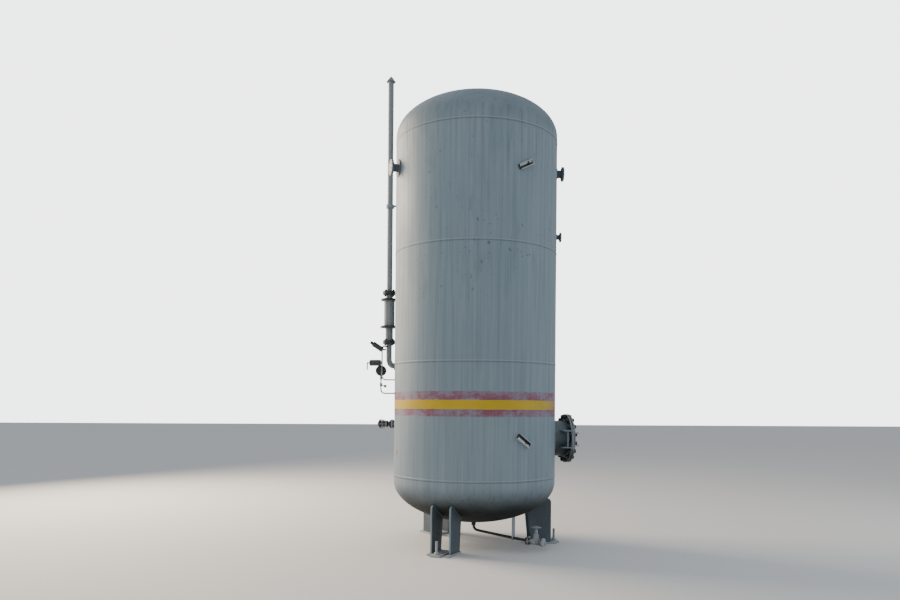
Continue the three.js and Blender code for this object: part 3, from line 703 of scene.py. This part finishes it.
class TankStudioSettings(bpy.types.PropertyGroup):
    """Camera, floor and lights."""

    lens: amount("Lens", "Focal length on a 36 mm sensor", 29.6)
    shift: amount("Shift", "Vertical shift of the level camera", 0.12)
    roll: amount("Roll", "Roll of the camera", 0.008, subtype="ANGLE")
    heading: amount("Heading", "Way that the camera looks, from X", math.radians(81), subtype="ANGLE")
    distance: length("Distance", "Distance from the camera to the tank's axis, along its view", 8.430)
    offset: length("Offset", "How far the tank's axis stands right of the view's middle", 0.279)
    eye: length("Eye Height", "Height of the camera above the ground", 1.529)
    sky: amount("Sky", "Strength of the light from all round", 0.69)
    key: amount("Key", "Power of the warm light", 1850.0, unit="POWER")
    fill: amount("Fill", "Power of each cool light", 170.0, unit="POWER")
    backdrop: amount("Backdrop", "Brightness of the backdrop itself", 4.2)


# Vessel
def head_profile(seam, side, radius, depth, steps=40):
    """A head's section, from its pole out to its straight flange."""
    tangent = seam + side * HEAD_FLANGE
    angles = [math.pi / 2 * i / steps for i in range(steps + 1)]
    return [(radius * math.sin(a), tangent + side * depth * math.cos(a)) for a in angles]


def bead_profile(seam, side, steps=6):
    """Half of a weld bead's rounded section, from the seam out to the plain wall."""
    angles = [math.pi / 2 * i / steps for i in range(steps + 1)]
    return [(RADIUS + BEAD_PROUD * math.cos(a), seam + side * BEAD_HALF * math.sin(a)) for a in angles]


class TANK_OT_vessel(bpy.types.Operator):
    """Make the shell's courses and heads as smooth walls with rounded weld beads"""

    bl_idname = "tank.vessel"
    bl_label = "Vessel"

    def execute(self, context):
        paint = vessel_paint()
        axis = Matrix.Translation((AXIS_X, AXIS_Y, 0))
        for node, seam, side in (("bottom_head", SEAMS[0], -1), ("top_head", SEAMS[3], 1)):
            bm = bmesh.new()
            outside = head_profile(seam, side, RADIUS, HEAD_DEPTH)
            rim = bead_profile(seam, side)[::-1]
            inside = head_profile(seam, side, RADIUS - WALL, HEAD_DEPTH - WALL)
            lathe(bm, [*outside, *rim, (RADIUS - WALL, seam), *inside[::-1]], ROUND, axis)
            piece(f"{node}_finished", bm, paint, replaces=(node,), sharp=50)
        for i, node in enumerate(("shell_lower", "shell_middle", "shell_upper")):
            low, high = SEAMS[i], SEAMS[i + 1]
            rows = [(RADIUS, low + (high - low) * k / 12) for k in range(1, 12)]
            outside = [*bead_profile(low, 1), *rows, *bead_profile(high, -1)[::-1]]
            bm = bmesh.new()
            lathe(bm, [(RADIUS - WALL, low), *outside, (RADIUS - WALL, high)], ROUND, axis, closed=True)
            made = piece(f"{node}_finished", bm, paint, replaces=(node,), sharp=50)
            if i == 0:
                self.cut_manway(context, made)
        return {"FINISHED"}

    def cut_manway(self, context, shell):
        bm = bmesh.new()
        radius = NECK_R - 0.001
        lathe(bm, [(0, 0), (radius, 0), (radius, 0.4), (0, 0.4)], 64, outward(0, 0.7, MANWAY_Z))
        bmesh.ops.recalc_face_normals(bm, faces=bm.faces)
        cutter_mesh = bpy.data.meshes.new("manway_cutter")
        bm.to_mesh(cutter_mesh)
        bm.free()
        cutter = bpy.data.objects.new("manway_cutter", cutter_mesh)
        context.scene.collection.objects.link(cutter)
        cut = shell.modifiers.new("manway_hole", "BOOLEAN")
        cut.operation = "DIFFERENCE"
        cut.solver = "EXACT"
        cut.object = cutter
        graph = context.evaluated_depsgraph_get()
        made = bpy.data.meshes.new_from_object(shell.evaluated_get(graph))
        shell.modifiers.remove(cut)
        shell.data = made
        bpy.data.objects.remove(cutter)
        if len(made.polygons) < ROUND:
            raise RuntimeError("the manway's hole left no shell")


# Legs
def head_height(reach, across):
    """The height of the bottom head's outside at a place, in a station's own X and Y."""
    share = min((reach * reach + across * across) / (RADIUS * RADIUS), 1.0)
    return SEAMS[0] - HEAD_FLANGE - HEAD_DEPTH * math.sqrt(1 - share)


def head_reach(height, across):
    """The reach at which the bottom head's outside has a height, on the line at an offset across."""
    share = 1 - ((SEAMS[0] - HEAD_FLANGE - height) / HEAD_DEPTH) ** 2
    return math.sqrt(share * RADIUS * RADIUS - across * across)


class TANK_OT_legs(bpy.types.Operator):
    """Finish the legs and add their welds and anchor bolts"""

    bl_idname = "tank.legs"
    bl_label = "Legs"

    def execute(self, context):
        for number in (1, 2, 3):
            azimuth = azimuth_of(MOUNTS[f"foot_{number}"]["pos_m"])
            home = upward(azimuth, 0, 0).inverted()
            for part in ("left_rib", "right_rib"):
                # Painted shade: each rib's sides take the darker copy of the slate paint, its outer edge the
                # plain slate paint
                refined(
                    f"leg_{number}_{part}", shaded_paint(), bevel=0.003, second=slate_paint(),
                    where=lambda point: (home @ point).x > RIB_EDGE,
                )
            refined(f"leg_{number}_foot_plate", pale_plate(), bevel=0.003)
            self.welds(context, number, azimuth)
            self.anchor(context, number, azimuth)
        return {"FINISHED"}

    def welds(self, context, number, azimuth):
        radius = context.scene.tank_fixings.weld
        place = upward(azimuth, 0, 0)
        bm = bmesh.new()
        for side in (-1, 1):
            for face in (-1, 1):
                across = side * RIB_SPACING / 2 + face * (RIB_THICKNESS / 2 + 0.001)
                run = head_reach(RIB_TOP, across) - RIB_WELD_FROM
                reaches = [RIB_WELD_FROM + run * i / 20 for i in range(21)]
                top = [Vector((r, across, head_height(r, across) - 0.002)) for r in reaches]
                tube(bm, [place @ p for p in top], radius, 8)
                foot = [Vector((r, across, FOOT_THICKNESS)) for r in (RIB_FOOT_INNER + 0.004, RIB_OUTER)]
                tube(bm, [place @ p for p in foot], radius * 0.8, 8)
        # Painted shade: the welds take the darker copy of the slate paint
        piece(f"leg_{number}_welds", bm, shaded_paint())

    def anchor(self, context, number, azimuth):
        sizes = context.scene.tank_fixings
        place = upward(azimuth, 0, 0) @ Matrix.Translation((ANCHOR_REACH, ANCHOR_ACROSS, FOOT_THICKNESS))
        bm = bmesh.new()
        nut(bm, place, sizes.anchor_nut, 0.026)
        stud(bm, place, sizes.anchor_nut * 0.31, sizes.anchor_height)
        piece(f"leg_{number}_anchor_bolt", bm, pale_plate())


# Manway
class TANK_OT_manway(bpy.types.Operator):
    """Finish the manway, its cover and hinge, and add nuts, studs and welds"""

    bl_idname = "tank.manway"
    bl_label = "Manway"

    def execute(self, context):
        sizes = context.scene.tank_fixings
        refined("manway_neck", neck_paint())

        def on_rim(point):
            return math.hypot(point.y - AXIS_Y, point.z - MANWAY_Z) > COVER_R * RIM_SHARE

        refined("manway_flange", dark_iron(), bevel=0.002, second=rim_paint(), where=on_rim)
        refined("manway_cover", rim_paint(), "manway_cover", 0.003)
        refined("hinge_bracket", slate_paint(), bevel=0.0015)
        refined("hinge_pin", bare_steel(), bevel=0.0015)
        for side in ("upper", "lower"):
            refined(f"cover_arm_{side}", grey_pipe(), "manway_cover", 0.0015)

        back = flip(outward(0, FLANGE_BACK, MANWAY_Z))
        bm = bmesh.new()
        bolt_ring(bm, back, BOLT_CIRCLE_R, sizes.manway_bolts, sizes.manway_nut, height=0.024, tip=0.004)
        piece("manway_flange_nuts", bm, dark_iron())

        front = outward(0, COVER_FACE, MANWAY_Z)
        bm = bmesh.new()
        bolt_ring(bm, front, BOLT_CIRCLE_R, sizes.manway_bolts, sizes.manway_nut, height=0.022)
        piece("manway_cover_bolt_heads", bm, dark_iron(), "manway_cover")

        bm = bmesh.new()
        place = upward(0, 0, MANWAY_Z)
        angles = [math.tau * i / 72 for i in range(72)]
        round_neck = [(NECK_R * math.cos(a), NECK_R * math.sin(a)) for a in angles]
        root = [Vector((math.sqrt(RADIUS * RADIUS - y * y), y, z)) for y, z in round_neck]
        tube(bm, [place @ p for p in root], sizes.weld * 1.3, 8, closed=True)
        rim = [Vector((FLANGE_BACK - 0.001, y, z)) for y, z in round_neck]
        tube(bm, [place @ p for p in rim], sizes.weld * 0.8, 8, closed=True)
        piece("manway_welds", bm, slate_paint())
        return {"FINISHED"}


# Nozzles and brackets
class TANK_OT_nozzles(bpy.types.Operator):
    """Finish the three small nozzles and bolt on their blind flanges"""

    bl_idname = "tank.nozzles"
    bl_label = "Nozzles"

    def execute(self, context):
        nut_share, depth_share, circle_share = 0.16, 0.35, 0.78
        for name in ("upper_right_nozzle", "lower_right_nozzle", "upper_left_nozzle"):
            # Painted shade: the stubs take the darker copy of the slate paint
            refined(name, shaded_paint())
            refined(f"{name}_blind_flange", grey_pipe(), bevel=0.0015)
            low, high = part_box(f"{name}_blind_flange")
            centre = (low + high) / 2
            radius = (high.z - low.z) / 2
            azimuth = azimuth_of(centre)
            half = BLIND_THICKNESS[name] / 2
            across = radius * nut_share
            bm = bmesh.new()
            face = outward(azimuth, reach_of(centre) + half, centre.z)
            bolt_ring(bm, face, radius * circle_share, 8, across, across * depth_share)
            back = flip(outward(azimuth, reach_of(centre) - 3 * half, centre.z))
            bolt_ring(bm, back, radius * circle_share, 8, across, across * depth_share)
            piece(f"{name}_bolts", bm, grey_pipe())
        return {"FINISHED"}


def on_shell(point):
    """A point brought back along its radius to just inside the shell's outside."""
    return upward(azimuth_of(point), RADIUS - 0.001, point.z).translation


class TANK_OT_brackets(bpy.types.Operator):
    """Finish the two tilted channels and lay a weld round each"""

    bl_idname = "tank.brackets"
    bl_label = "Brackets"

    def execute(self, context):
        for name, tilt in BRACKET_TILTS.items():
            low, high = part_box(name)
            middle = (low + high) / 2
            place = outward(azimuth_of(middle), 0, middle.z) @ Matrix.Rotation(math.radians(tilt), 4, "Z")
            home = place.inverted()

            def in_channel(point):
                return abs((home @ point).y) < BRACKET_HALF_WIDTH - BRACKET_WALL * 0.8

            # Painted shade: the inside of each channel takes the dark iron, its outside the painted highlight
            iron = dark_iron()
            refined(name, bright_plate(), bevel=0.001, second=iron, where=in_channel)
            bm = bmesh.new()
            for side in (-1, 1):
                across = side * (BRACKET_HALF_WIDTH + 0.001)
                run = [BRACKET_HALF_LENGTH * (i / 6 - 1) for i in range(13)]
                path = [on_shell(place @ Vector((along, across, RADIUS))) for along in run]
                tube(bm, path, context.scene.tank_fixings.weld * 0.6, 8)
            piece(f"{name}_welds", bm, slate_paint())

            # A painted pool of light: a bright strip inside the channel, on the side where the light falls
            lit_side = 1 if tilt > 0 else -1
            wall = BRACKET_HALF_WIDTH - BRACKET_WALL - STRIP_FROM_WALL
            low, high = sorted((lit_side * STRIP_FROM_MIDDLE, lit_side * wall))
            end = BRACKET_HALF_LENGTH - STRIP_FROM_END
            bm = bmesh.new()
            slab(bm, place, (-end, low, RADIUS + STRIP_RISE[0]), (end, high, RADIUS + STRIP_RISE[1]))
            piece(f"{name}_painted_light_strip", bm, bright_plate(), bevel=0.001)
        return {"FINISHED"}


# Vent stack and safety valve
def ring_of_bolts(context, name, x, y, height, circle, count, body="tank"):
    """Nuts above and below a level flange joint."""
    sizes = context.scene.tank_fixings
    bm = bmesh.new()
    top = Matrix.Translation((x, y, height[1]))
    bolt_ring(bm, top, circle, count, sizes.flange_nut, height=0.012, tip=0.005)
    bottom = flip(Matrix.Translation((x, y, height[0])))
    bolt_ring(bm, bottom, circle, count, sizes.flange_nut, height=0.012, tip=0.005)
    piece(name, bm, dark_iron(), body)


class TANK_OT_vent(bpy.types.Operator):
    """Finish the vent stack and its expansion cylinder"""

    bl_idname = "tank.vent"
    bl_label = "Vent Stack"

    def execute(self, context):
        def on_flange(point):
            return any(low - 0.001 < point.z < high + 0.001 for low, high in VENT_FLANGES)

        for name in ("vent_pipe", "vent_expansion_cylinder", "safety_valve_outlet_pipe"):
            refined(name, grey_pipe(), second=dark_iron(), where=on_flange)
        refined("vent_rain_cap", grey_pipe())
        refined("vent_bracket", slate_paint())
        stack = middle_of("vent_rain_cap")
        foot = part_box("vent_expansion_cylinder")[0].z
        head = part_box("vent_expansion_cylinder")[1].z
        for name, height, circle in (("upper", head, VENT_JOINT_R), ("lower", foot, VENT_FOOT_R)):
            faces = (height - LEVEL_FLANGE, height + LEVEL_FLANGE)
            ring_of_bolts(context, f"vent_{name}_bolts", stack.x, stack.y, faces, circle, 4)
        return {"FINISHED"}


class TANK_OT_safety_valve(bpy.types.Operator):
    """Finish the safety valve and its nozzle, and add bonnet bolts and a lifting lever"""

    bl_idname = "tank.safety_valve"
    bl_label = "Safety Valve"

    def execute(self, context):
        refined("safety_valve", grey_pipe())
        refined("safety_valve_nozzle", slate_paint())
        low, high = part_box("safety_valve")
        azimuth = azimuth_of(middle_of("safety_valve_nozzle"))
        place = upward(azimuth, SAFETY_REACH, 0)
        axis = place.translation
        inlet = (low.z - LEVEL_FLANGE, low.z + LEVEL_FLANGE)
        ring_of_bolts(context, "safety_valve_inlet_bolts", axis.x, axis.y, inlet, SAFETY_INLET_R, 4)
        bonnet = tuple(low.z + step for step in SAFETY_BONNET)
        ring_of_bolts(context, "safety_valve_bonnet_bolts", axis.x, axis.y, bonnet, SAFETY_BONNET_R, 6)
        bm = bmesh.new()
        path = [Vector((0, 0, -0.012)), Vector((0.05, 0, -0.010)), Vector((0.13, 0, -0.045))]
        tube(bm, [place @ (p + Vector((0, 0, high.z))) for p in path], 0.006, 10)
        piece("safety_valve_lever", bm, bare_steel())
        return {"FINISHED"}


# Gauge
class TANK_OT_gauge(bpy.types.Operator):
    """Finish the pressure gauge with a bezel, dial, marks and pointer"""

    bl_idname = "tank.gauge"
    bl_label = "Gauge"

    def execute(self, context):
        refined("gauge", black_case(), bevel=0.004)
        refined("gauge_pipe", bare_steel())
        azimuth = azimuth_of(middle_of("gauge_pipe"))
        home = upward(azimuth, 0, 0).inverted()

        def on_valve(point):
            local = home @ point
            near_line = abs(local.x - PILOT_REACH) < 0.012
            return PILOT_VALVE_HEIGHTS[0] < local.z < PILOT_VALVE_HEIGHTS[1] and not near_line

        refined("pilot_line", bare_steel(), second=dark_iron(), where=on_valve)
        low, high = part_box("gauge")
        across = Vector((math.sin(azimuth), -math.cos(azimuth), 0))
        turn = across.to_track_quat("Z", "Y").to_matrix().to_4x4()
        centre = upward(azimuth, GAUGE_REACH, high.z - DIAL_CASE_R).translation
        face = Matrix.Translation(centre + across * DIAL_PROUD) @ turn
        bm = bmesh.new()
        bezel = [(DIAL_R, 0), (0.056, 0), (0.056, 0.004), (0.050, 0.006), (DIAL_R, 0.002)]
        lathe(bm, bezel, 48, face, closed=True)
        piece("gauge_bezel", bm, black_case())
        bm = bmesh.new()
        lathe(bm, [(0, 0.0006), (DIAL_R, 0.0006), (DIAL_R, 0.0016), (0, 0.0016)], 48, face)
        piece("gauge_dial", bm, dial_white())
        bm = bmesh.new()
        for i in range(21):
            angle = math.radians(225 - 270 * i / 20)
            long = 0.009 if i % 5 == 0 else 0.005
            ends = [Vector((r * math.cos(angle), r * math.sin(angle), 0.0020)) for r in (0.043, 0.043 - long)]
            tube(bm, [face @ p for p in ends], 0.0005, 6)
        needle = [Vector((-0.010, -0.004, 0.0030)), Vector((0.030, 0.012, 0.0030))]
        tube(bm, [face @ p for p in needle], 0.0009, 6)
        lathe(bm, [(0, 0.0018), (0.004, 0.0018), (0.004, 0.0042), (0, 0.0042)], 20, face)
        piece("gauge_marks", bm, black_case())
        return {"FINISHED"}


# Valves
def flange_bolts(context, name, azimuth, reaches, height, circle, count=4):
    """Nuts on both sides of an upright flange joint."""
    across = context.scene.tank_fixings.flange_nut * 0.8
    bm = bmesh.new()
    for place in (outward(azimuth, reaches[1], height), flip(outward(azimuth, reaches[0], height))):
        bolt_ring(bm, place, circle, count, across, height=0.010, tip=0.003)
    piece(name, bm, dark_iron())


class TANK_OT_gas_valve(bpy.types.Operator):
    """Finish the gas valve, its nozzle and handwheel"""

    bl_idname = "tank.gas_valve"
    bl_label = "Gas Valve"

    def execute(self, context):
        refined("gas_nozzle", slate_paint())
        refined("gas_valve", dark_iron())
        refined("gas_valve_handwheel", grey_pipe(), "gas_handwheel", 0.0008)
        outlet = MOUNTS["gas_valve_outlet"]["pos_m"]
        flange_bolts(context, "gas_valve_bolts", azimuth_of(outlet), GAS_JOINT, outlet[2], GAS_JOINT_R)
        return {"FINISHED"}


class TANK_OT_drain(bpy.types.Operator):
    """Finish the drain's pipe, hanger, valve and handwheel"""

    bl_idname = "tank.drain"
    bl_label = "Drain"

    def execute(self, context):
        refined("drain_pipe", dark_iron())
        refined("drain_hanger", pale_plate(), bevel=0.001)
        refined("drain_valve", silvery_paint())
        refined("drain_valve_handwheel", silvery_paint(), "drain_handwheel", 0.0008)
        outlet = MOUNTS["drain_valve_outlet"]["pos_m"]
        azimuth, reach = azimuth_of(outlet), reach_of(outlet)
        inlet = reach - DRAIN_VALVE_LENGTH
        faces = (inlet - DRAIN_FLANGES[0], inlet + DRAIN_FLANGES[1])
        flange_bolts(context, "drain_valve_bolts", azimuth, faces, outlet[2], DRAIN_JOINT_R)
        nuts = bmesh.new()
        back = flip(outward(azimuth, reach - DRAIN_FLANGES[1] - 0.0005, outlet[2]))
        across = context.scene.tank_fixings.flange_nut * 0.8
        bolt_ring(nuts, back, DRAIN_JOINT_R, 4, across, height=0.010, tip=0.003)
        piece("drain_outlet_nuts", nuts, dark_iron())
        return {"FINISHED"}


# Studio
def plain_material(name, color, roughness):
    material, w, shader = finish_material(name, 0.0)
    tone = w.noise(0.6, w.place((1, 1, 1)), 3.0, 0.5)
    lighter = tuple(min(c * 1.04, 1.0) for c in color)
    w.join(w.mix(tone, (*color, 1), (*lighter, 1)), shader.inputs["Base Color"])
    shader.inputs["Roughness"].default_value = roughness
    return material


def area_light(name, place, target, size, power, color):
    data = bpy.data.lights.new(name, "AREA")
    data.shape = "RECTANGLE"
    data.size, data.size_y = size
    data.energy = power
    data.color = color
    made = bpy.data.objects.new(name, data)
    made.location = place
    made.rotation_euler = (Vector(target) - Vector(place)).to_track_quat("-Z", "Y").to_euler()
    bpy.context.scene.collection.objects.link(made)


class TANK_OT_studio(bpy.types.Operator):
    """Set the floor, the sky, the lights and the camera"""

    bl_idname = "tank.studio"
    bl_label = "Studio"

    def execute(self, context):
        studio = context.scene.tank_studio
        ahead = Vector((math.cos(studio.heading), math.sin(studio.heading), 0))
        right = Vector((ahead.y, -ahead.x, 0))
        axis = Vector((AXIS_X, AXIS_Y, 0))

        bm = bmesh.new()
        bmesh.ops.create_grid(bm, x_segments=2, y_segments=2, size=60)
        mesh = bpy.data.meshes.new("studio_floor")
        bm.to_mesh(mesh)
        bm.free()
        mesh.materials.append(plain_material("pale_floor", (0.60, 0.59, 0.57), 0.85))
        floor = bpy.data.objects.new("studio_floor", mesh)
        context.scene.collection.objects.link(floor)

        world = bpy.data.worlds.new("studio_sky")
        world.use_nodes = True
        tree = world.node_tree
        sky = tree.nodes["Background"]
        sky.inputs["Color"].default_value = (0.84, 0.90, 0.98, 1)
        sky.inputs["Strength"].default_value = studio.sky
        backdrop = tree.nodes.new("ShaderNodeBackground")
        backdrop.inputs["Color"].default_value = (0.93, 0.95, 0.98, 1)
        backdrop.inputs["Strength"].default_value = studio.backdrop
        either = tree.nodes.new("ShaderNodeMixShader")
        tree.links.new(tree.nodes.new("ShaderNodeLightPath").outputs["Is Camera Ray"], either.inputs[0])
        tree.links.new(sky.outputs[0], either.inputs[1])
        tree.links.new(backdrop.outputs[0], either.inputs[2])
        tree.links.new(either.outputs[0], tree.nodes["World Output"].inputs["Surface"])
        context.scene.world = world

        chest = axis + Vector((0, 0, 2.6))
        key = chest - right * 7.5 + ahead * 3.9 + Vector((0, 0, 3.0))
        area_light("warm_key", key, chest, (5, 6), studio.key, (1.0, 0.83, 0.64))
        fill = chest - right * 4 - ahead * 8 + Vector((0, 0, 5.0))
        area_light("cool_fill", fill, chest, (6, 6), studio.fill, (0.84, 0.92, 1.0))
        side = chest + right * 9 - ahead * 1.0 + Vector((0, 0, 1.0))
        area_light("cool_side", side, chest, (6, 6), studio.fill, (0.76, 0.88, 1.0))

        data = bpy.data.cameras.new("photo_camera")
        data.sensor_fit = "HORIZONTAL"
        data.sensor_width = 36
        data.lens = studio.lens
        data.shift_y = studio.shift
        data.clip_end = 200
        camera = bpy.data.objects.new("photo_camera", data)
        camera.location = axis - ahead * studio.distance - right * studio.offset + Vector((0, 0, studio.eye))
        level = ahead.to_track_quat("-Z", "Y").to_matrix().to_4x4()
        camera.rotation_euler = (level @ Matrix.Rotation(studio.roll, 4, "Z")).to_euler()
        context.scene.collection.objects.link(camera)
        context.scene.camera = camera
        return {"FINISHED"}


class TANK_PT_panel(bpy.types.Panel):
    """Lists the steps that finish the tank"""

    bl_label = "Gas Receiver Tank"
    bl_idname = "TANK_PT_panel"
    bl_space_type = "VIEW_3D"
    bl_region_type = "UI"
    bl_category = "Tank"

    def draw(self, context):
        column = self.layout.column(align=True)
        for step in STEPS:
            column.operator(step.bl_idname)


STEPS = (
    TANK_OT_studio,
    TANK_OT_vessel,
    TANK_OT_legs,
    TANK_OT_manway,
    TANK_OT_nozzles,
    TANK_OT_brackets,
    TANK_OT_vent,
    TANK_OT_safety_valve,
    TANK_OT_gauge,
    TANK_OT_gas_valve,
    TANK_OT_drain,
)
SETTINGS = {
    "tank_paint": TankPaintSettings,
    "tank_fixings": TankFixingSettings,
    "tank_studio": TankStudioSettings,
}


def register():
    for cls in (*SETTINGS.values(), *STEPS, TANK_PT_panel):
        bpy.utils.register_class(cls)
    for name, cls in SETTINGS.items():
        setattr(bpy.types.Scene, name, bpy.props.PointerProperty(type=cls))


def unregister():
    for name in SETTINGS:
        delattr(bpy.types.Scene, name)
    for cls in reversed((*SETTINGS.values(), *STEPS, TANK_PT_panel)):
        bpy.utils.unregister_class(cls)


def main():
    register()
    for step in STEPS:
        family, name = step.bl_idname.split(".")
        getattr(getattr(bpy.ops, family), name)()


if __name__ == "__main__":
    main()
